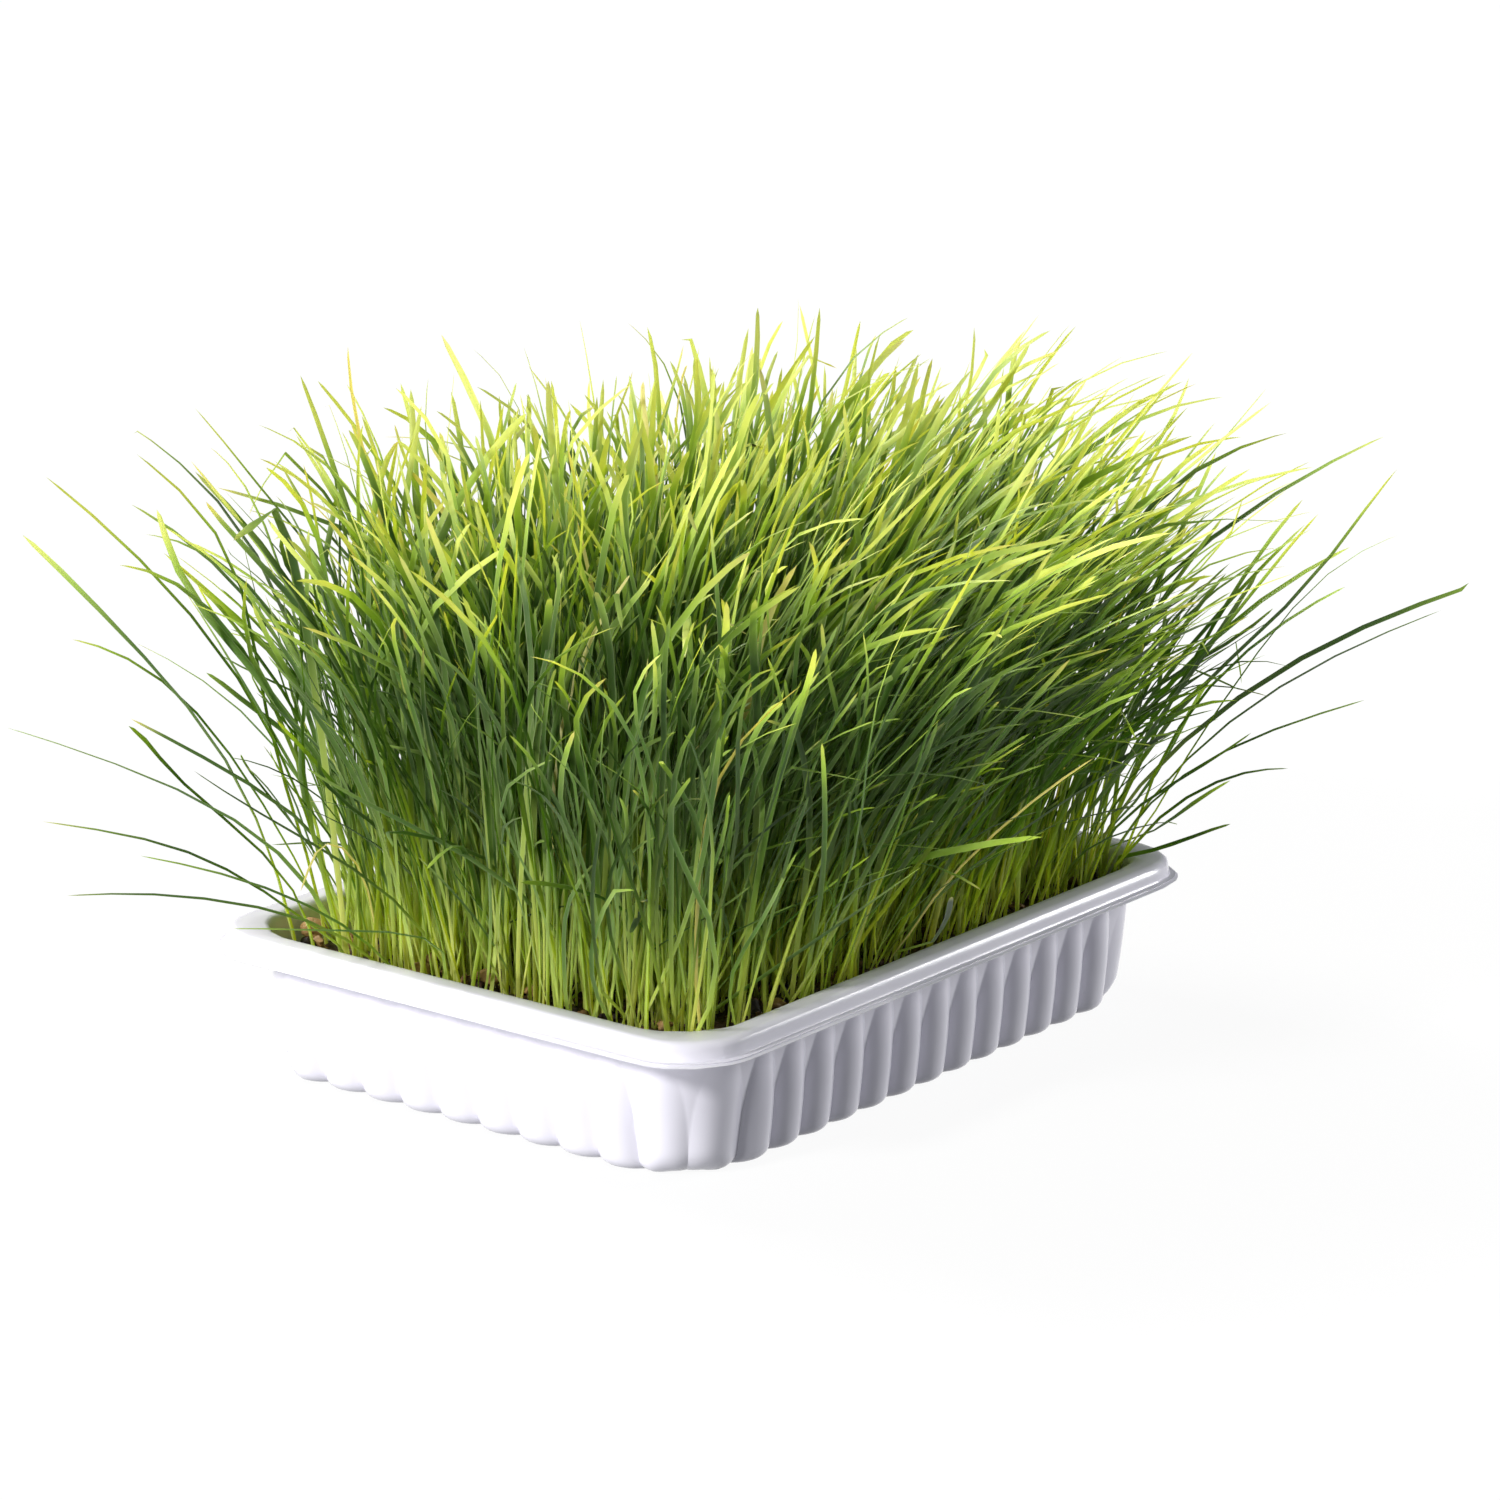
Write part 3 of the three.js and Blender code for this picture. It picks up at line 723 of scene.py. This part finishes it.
def substrate_bits(name, cuts, bits, seed):
    """Loose bits of bark and coir on the bed, each with its own shape, turn and shade."""
    random = np.random.RandomState(seed)
    form, faces = bit_form(name + "_form", cuts)
    faces = np.array(faces)
    all_points = []
    all_faces = []
    all_shades = []
    for x, y, size, shade, place_z in bits:
        lumps = np.ones(len(form))
        for height, closeness in BIT_LUMPS:
            waves = form @ random.normal(size=(3, 3)) * closeness + random.uniform(0, 6, 3)
            lumps += height * np.sin(waves).sum(1)
        shape = form * lumps[:, None] * (1.0, random.uniform(*BIT_WIDTHS), random.uniform(*BIT_HEIGHTS))
        shape = turned(shape, random) * (1, 1, BIT_FLATTENED) * size
        height = place_z or bed_height(np.array([x]), np.array([y]))[0] + BIT_RISE * size
        all_faces.append(faces + len(form) * len(all_points))
        all_points.append(shape + (x, y, height))
        all_shades.append(np.full(len(form), shade))
    mesh = bpy.data.meshes.new(name)
    mesh.from_pydata((np.concatenate(all_points) * MM).tolist(), [], np.concatenate(all_faces).tolist())
    mesh.attributes.new("shade", "FLOAT", "POINT").data.foreach_set("value", np.concatenate(all_shades))
    piece = bpy.data.objects.new(name, mesh)
    bpy.context.scene.collection.objects.link(piece)
    smooth(piece, BIT_EDGE_ANGLE)
    return piece


def bit_places(count, sizes, seed, only_near=False):
    """Where loose bits lie, with their sizes and shades, and no height of their own."""
    random = np.random.RandomState(seed)
    bits = []
    while len(bits) < count:
        x = random.uniform(-BITS_HALF_LENGTH, BITS_HALF_LENGTH)
        y = random.uniform(-BITS_HALF_WIDTH, BITS_HALF_WIDTH)
        over_x = max(abs(x) - (BITS_HALF_LENGTH - BITS_TURN), 0)
        over_y = max(abs(y) - (BITS_HALF_WIDTH - BITS_TURN), 0)
        if over_x ** 2 + over_y ** 2 > BITS_CORNER ** 2:
            continue
        if only_near and min(x + BITS_HALF_LENGTH, y + BITS_HALF_WIDTH) > NEAR_BAND:
            continue
        size = sizes[0] + (sizes[1] - sizes[0]) * random.uniform() ** 2
        shade = random.uniform(*BIT_SHADES) + LIGHTER_BY * (random.uniform() > LIGHTER_ABOVE)
        bits.append((x, y, size, shade, None))
    return bits


# Grass

def tuft_places():
    """Where the tufts stand, drawn as the CAD model draws them."""
    seed = PLACE_SEED

    def draw(low, high):
        nonlocal seed
        seed = (seed * DRAW_FACTOR + DRAW_STEP) % DRAW_RANGE
        return low + (high - low) * seed / DRAW_RANGE

    places = []
    for row in range(TUFTS_WIDE):
        for column in range(TUFTS_LONG):
            x = (column - (TUFTS_LONG - 1) / 2) * TUFT_SPACING[0] + draw(-TUFT_JITTER, TUFT_JITTER)
            y = (row - (TUFTS_WIDE - 1) / 2) * TUFT_SPACING[1] + draw(-TUFT_JITTER, TUFT_JITTER)
            places.append((x, y))
    return np.array(places)


def blade_form():
    """One blade as a four-sided stem, x across, y through and z from its foot to its pointed tip."""
    deselect()
    bpy.ops.mesh.primitive_cylinder_add(vertices=4, radius=1, depth=1, location=(0, 0, 0.5))
    bpy.ops.object.transform_apply(location=True)
    form = named("blade_form")
    bpy.ops.object.mode_set(mode="EDIT")
    for level in BLADE_RINGS[1:-1]:
        bpy.ops.mesh.select_all(action="SELECT")
        bpy.ops.mesh.bisect(plane_co=(0, 0, level), plane_no=(0, 0, 1))
    bpy.ops.object.mode_set(mode="OBJECT")
    edit_points(form, points_of(form.data)[:, 2] > 0.999)
    bpy.ops.mesh.merge(type="CENTER")
    bpy.ops.object.mode_set(mode="OBJECT")
    return taken_form(form)


def lean_field(x, y):
    """How neighbouring blades lean together, in waves over the tray."""
    points = np.stack([x, y], 1)
    waves = [LEAN_WAVE * soft_noise(points, seed, LEAN_WAVES, LEAN_WAVE_LENGTH) for seed in LEAN_SEEDS]
    inner = 1 - np.minimum(1, np.hypot(x / SOIL_HALF_LENGTH, y / SOIL_HALF_WIDTH)) ** INNER_POWER
    near_right = np.clip((x * LEAN_WAY[0] + y * LEAN_WAY[1] - LEAN_FROM) / LEAN_BAND, 0, 1)
    return np.stack(waves, 1) + (INNER_LEAN * inner * near_right)[:, None] * np.array(LEAN_WAY)


def drawn_tips(roots, random):
    """Tips that fan out from the middle as the CAD model's do, and each blade's share of a full height."""
    u = roots[:, 0] / SOIL_HALF_LENGTH
    v = roots[:, 1] / SOIL_HALF_WIDTH
    fan = np.stack([np.sign(u) * abs(u) ** FAN_POWER, np.sign(v) * abs(v) ** FAN_POWER], 1)
    spread = np.where(np.stack([u, v], 1) < 0, SPREAD_DOWN, SPREAD_UP)
    edge = np.minimum(1, np.hypot(u, v))
    count = len(roots)
    share = BLADE_SHARE[0] + BLADE_SHARE[1] * random.beta(*BLADE_SHARE_DRAW, count)
    chance = random.uniform(size=count)
    share = np.where(chance < SHORT_CHANCE, share * random.uniform(*SHORT_SHARES, count), share)
    droop = EDGE_DROOP * edge ** 2 + NEAR_DROOP * np.maximum(0, -v) ** 2
    height = BLADE_HEIGHT * (1 - droop) * share
    reach = REACH_SHARE[0] + REACH_SHARE[1] * np.minimum(share, 1)[:, None]
    wander = random.normal(0, WANDER, (count, 2))
    away = (fan * spread + wander + lean_field(roots[:, 0], roots[:, 1])) * reach
    fallen = chance > FALLEN_ABOVE
    fall_angle = np.arctan2(away[:, 1], away[:, 0]) + random.normal(0, FALLEN_TURN, count)
    fall_reach = random.uniform(*FALLEN_REACH, count)[:, None]
    fall = np.stack([np.cos(fall_angle), np.sin(fall_angle)], 1) * fall_reach
    away = np.where(fallen[:, None], fall, away)
    height = np.where(fallen, height * random.uniform(*FALLEN_SHARES, count), height)
    return np.column_stack([roots[:, :2] + away, roots[:, 2] + height]), share


def hold_inside(line):
    """Keep blades inside the rim until they stand above it."""
    half = np.array([HALF_LENGTH - HELD_INSET, HALF_WIDTH - HELD_INSET])
    out = np.maximum(np.abs(line[..., :2]) - (half - HELD_CORNER), 0)
    length = np.linalg.norm(out, axis=-1)
    excess = np.maximum(length - HELD_CORNER, 0) * (line[..., 2] < TRAY_HEIGHT + RIM_CLEAR)
    way = out / np.maximum(length, 1e-6)[..., None] * np.sign(line[..., :2])
    line[..., :2] -= way * excess[..., None]
    return line


def middle_lines(roots, tips, random, loose):
    """Curved middle lines: up out of the root, then over towards the tip, some swayed and a few folded."""
    count = len(roots)
    gap = tips - roots
    rise = np.full(count, LOOSE_RISE) if loose else random.uniform(*BEND_RISES, count)
    out = np.full(count, LOOSE_OUT) if loose else random.uniform(*BEND_OUT, count)
    knee = roots + gap * out[:, None]
    if not loose:
        knee[:, :2] += random.normal(0, KNEE_WANDER, (count, 2))
    knee[:, 2] = roots[:, 2] + rise * np.maximum(gap[:, 2], rise * np.linalg.norm(gap, axis=1))
    t = np.array(BLADE_RINGS)[None, :, None]
    line = (1 - t) ** 2 * roots[:, None] + 2 * t * (1 - t) * knee[:, None] + t ** 2 * tips[:, None]
    swing = random.normal(0, SWAY, (count, 1, 2))
    sway = swing * np.sin(t * math.pi * random.uniform(*SWAY_TURNS, (count, 1, 1)))
    line[..., :2] = np.clip(line[..., :2] + sway * t, TIPS_FROM, TIPS_TO)
    if not loose:
        folded = np.flatnonzero(random.uniform(size=count) < FOLDED_CHANCE)
        for blade in folded:
            at = random.randint(*FOLD_RINGS)
            heading = line[blade, at] - line[blade, at - 1]
            level = Vector((-heading[1], heading[0], 0.0)).normalized()
            turn = np.array(Matrix.Rotation(random.uniform(*FOLD_TURNS), 3, level))
            line[blade, at:] = line[blade, at] + (line[blade, at:] - line[blade, at]) @ turn.T
    over_rim = TRAY_HEIGHT + RIM_CLEAR
    risen = np.maximum.accumulate(line[..., 2] >= over_rim, axis=1)
    line[..., 2] = np.where(risen, np.maximum(line[..., 2], over_rim), line[..., 2])
    return hold_inside(line)


def unit(vectors):
    """Vectors along the last axis, each made one long."""
    return vectors / np.maximum(np.linalg.norm(vectors, axis=-1), 1e-6)[..., None]


def blade_points(form, line, width, random):
    """Spread the blade's form along each middle line, with its own width, facing and twist."""
    count = len(line)
    level = np.searchsorted(np.array(BLADE_RINGS) - 0.001, form[:, 2]) - 1
    ahead = unit(np.gradient(line, axis=1))
    lean = line[:, -1, :2] - line[:, 0, :2]
    facing = np.arctan2(lean[:, 1], lean[:, 0]) + math.pi / 2 + random.normal(0, FACING_WANDER, count)
    twist = random.normal(0, TWIST, count)
    angle = facing[:, None] + twist[:, None] * np.array(BLADE_RINGS)[None]
    side = np.stack([np.cos(angle), np.sin(angle), np.zeros_like(angle)], 2)
    side = unit(side - (side * ahead).sum(2)[..., None] * ahead)
    face = np.cross(side, ahead)
    half = width[:, None] / 2 * np.array(WIDTH_SHARES)[None]
    thick = np.array(HALF_THICKNESS)[None] * (width[:, None] / THICKNESS_WIDTH)
    cup = width[:, None] * np.array(CUP_SHARES)[None]
    form_x = form[None, :, 0, None]
    form_y = form[None, :, 1, None]
    across = form_x * half[:, level, None] * side[:, level]
    through = form_y * thick[:, level, None] + form_x ** 2 * cup[:, level, None]
    return line[:, level] + across + through * face[:, level]


def tuft(name, form, faces, roots, tips, share, random, loose_count):
    """One tuft: every blade of a patch, joined as one mesh with its own colours."""
    count = len(roots)
    split = count - loose_count
    line = np.concatenate([middle_lines(roots[:split], tips[:split], random, False),
                           middle_lines(roots[split:], tips[split:], random, True)])
    width = random.uniform(*BLADE_WIDTH, count) * np.clip(share, NARROWEST_SHARE, 1.0)
    width[split:] = LOOSE_WIDTH
    points = blade_points(form, line, width, random).reshape(-1, 3)
    step = len(form)
    all_faces = [tuple(corner + blade * step for corner in face) for blade in range(count) for face in faces]
    mesh = bpy.data.meshes.new(name)
    mesh.from_pydata((points * MM).tolist(), [], all_faces)
    tint = np.clip(random.normal(*TINT, count), 0, 1)
    ended = (random.uniform(size=count) < ENDED_CHANCE) * random.uniform(*ENDED_SHARES, count)
    dry = random.uniform(size=count) < DRY_CHANCE
    rise = np.tile(form[:, 2], count)
    straw = np.repeat(ended, step) * np.clip((rise - ENDED_FROM) / ENDED_BAND, 0, 1)
    straw = np.maximum(straw, np.repeat(dry, step) * DRY_SHARE)
    mesh.attributes.new("tint", "FLOAT", "POINT").data.foreach_set("value", np.repeat(tint, step))
    mesh.attributes.new("straw", "FLOAT", "POINT").data.foreach_set("value", straw)
    corner = np.empty(len(mesh.loops), int)
    mesh.loops.foreach_get("vertex_index", corner)
    across = np.tile(form[:, 0] / 2 + 0.5, count)
    mesh.uv_layers.new(name="blade").data.foreach_set("uv", np.stack([across, rise], 1)[corner].ravel())
    piece = bpy.data.objects.new(name, mesh)
    bpy.context.scene.collection.objects.link(piece)
    smooth(piece, BLADE_EDGE_ANGLE)
    return piece


def bare_share(plan):
    """How likely a blade is left out at each place, so that the substrate shows as in the photograph."""
    corner = (plan[:, 0] - BARE_CORNER[0]) ** 2 + (plan[:, 1] - BARE_CORNER[1]) ** 2
    bare = BARE_CORNER_SHARE * np.exp(-corner / BARE_CORNER_AREA)
    by_wall = BARE_WALL_SHARE * np.clip(1 - from_near_wall(plan[:, 0], plan[:, 1]) / BARE_WALL_BAND, 0, 1)
    return np.maximum(np.maximum(bare, by_wall), BARE_SHARE)


def tuft_roots(place, random):
    """Where the blades of one tuft come out of the substrate, in a few close groups."""
    steps = (np.arange(ROOTS_ACROSS) + 0.5) / ROOTS_ACROSS - 0.5
    plan = np.stack(np.meshgrid(steps * TUFT_SPACING[0], steps * TUFT_SPACING[1]), -1).reshape(-1, 2)
    plan = plan + place + random.uniform(-ROOT_JITTER, ROOT_JITTER, plan.shape)
    plan = np.repeat(plan, BLADES_A_ROOT, axis=0)
    plan += random.normal(0, ROOT_SIZE, plan.shape)
    plan = plan[random.uniform(size=len(plan)) > bare_share(plan)]
    return hold_inside(np.column_stack([plan, np.full(len(plan), SOIL_TOP - ROOT_SUNK)]))


def grass(material):
    """All the tufts, each in place of its CAD tuft. A loose blade is in the tuft nearest its root."""
    form, faces = blade_form()
    places = tuft_places()
    stray_roots = np.array([[*root, SOIL_TOP - ROOT_SUNK] for root, _ in STRAYS], float)
    stray_tips = np.array([tip for _, tip in STRAYS], float)
    home = np.argmin(np.linalg.norm(stray_roots[:, None, :2] - places[None], axis=2), axis=1)
    for number, place in enumerate(places):
        random = np.random.RandomState(GRASS_SEED + number)
        roots = tuft_roots(place, random)
        tips, share = drawn_tips(roots, random)
        loose = np.flatnonzero(home == number)
        roots = np.concatenate([roots, hold_inside(stray_roots[loose])])
        tips = np.concatenate([tips, stray_tips[loose]])
        share = np.concatenate([share, np.full(len(loose), LOOSE_SHARE)])
        node_name = f"grass_tuft_{number + 1:02d}"
        piece = tuft(f"tuft_blades_{number + 1:02d}", form, faces, roots, tips, share, random, len(loose))
        finish_piece(piece, "grass_blade", material, node_name)


# Stage

def floor():
    """A plain pale floor, larger than the camera's view. It gives the tray no coloured light."""
    deselect()
    bpy.ops.mesh.primitive_plane_add(size=30, location=(0, 0, 0))
    piece = named("floor")
    material, _, shader = new_material("pale floor")
    shader.inputs["Base Color"].default_value = FLOOR_COLOUR
    shader.inputs["Roughness"].default_value = 1.0
    shader.inputs["Specular IOR Level"].default_value = 0.0
    shader.inputs["Emission Color"].default_value = (1, 1, 1, 1)
    shader.inputs["Emission Strength"].default_value = 0.93
    piece.data.materials.append(material)
    piece.visible_diffuse = False


def add_lamp(name, data, way):
    """Put a lamp in the scene, shining from the given way."""
    lamp = bpy.data.objects.new(name, data)
    lamp.rotation_euler = Vector(way).to_track_quat("Z", "Y").to_euler()
    bpy.context.scene.collection.objects.link(lamp)
    return lamp


def soft_panel(name, place, size, energy, spread):
    """A soft rectangular light that faces the tray."""
    panel = bpy.data.lights.new(name, "AREA")
    panel.shape = "RECTANGLE"
    panel.size, panel.size_y = size
    panel.energy = energy
    panel.spread = math.radians(spread)
    add_lamp(name, panel, place).location = place


def far_light(name, way, energy, angle, colour):
    """A sun lamp that shines from the given way."""
    sun = bpy.data.lights.new(name, "SUN")
    sun.energy = energy
    sun.angle = math.radians(angle)
    sun.color = colour
    add_lamp(name, sun, way)


def lights():
    """A soft key light from the left, a weaker one from behind, and two panels in plain pale surroundings."""
    far_light("key", (-0.85, 0.2, 0.49), 2.95, 10, (1.0, 0.99, 0.96))
    far_light("from_behind", (0.05, 0.74, 0.67), 2.7, 20, (1.0, 0.98, 0.93))
    soft_panel("right_panel", (1.12, -0.75, 0.32), (0.25, 0.6), 11.0, 180)
    soft_panel("left_panel", (-0.85, 0.07, 0.03), (0.3, 0.08), 0.6, 70)
    world = bpy.data.worlds.new("surroundings")
    world.use_nodes = True
    world.node_tree.nodes["Background"].inputs["Color"].default_value = SURROUNDINGS
    world.node_tree.nodes["Background"].inputs["Strength"].default_value = 0.17
    bpy.context.scene.world = world
    bpy.context.scene.view_settings.view_transform = "Standard"


def camera():
    """The camera, at the photograph's viewing angle."""
    data = bpy.data.cameras.new("camera")
    data.lens = CAMERA_LENS
    data.sensor_width = 36
    data.clip_start = 0.01
    data.clip_end = 100
    eye = bpy.data.objects.new("camera", data)
    turn = Matrix((CAMERA_RIGHT, CAMERA_UP, CAMERA_BACK)).transposed()
    eye.matrix_world = Matrix.Translation(Vector(CAMERA_PLACE) * MM) @ turn.to_4x4()
    bpy.context.scene.collection.objects.link(eye)
    bpy.context.scene.camera = eye


finish_piece(tray_shell(), "tray_plastic", plastic_material(), "tray")
finish_piece(substrate_bed(), "substrate", substrate_material("moist substrate", False), "soil")
bits_material = substrate_material("bark and coir bits", True)
chunks = [(x, y, size, SEEN_SHADE, z) for x, y, z, size in SEEN_CHUNKS]
chunks += bit_places(NEAR_CHUNKS, NEAR_SIZES, 33, True)
finish_piece(substrate_bits("substrate_chunks", 3, chunks, 41), "substrate", bits_material, "soil")
crumbs = bit_places(LARGE_CRUMBS, LARGE_SIZES, 31) + bit_places(SMALL_CRUMBS, SMALL_SIZES, 32)
finish_piece(substrate_bits("substrate_crumbs", 1, crumbs, 42), "substrate", bits_material, "soil")
grass(grass_material())
floor()
lights()
camera()
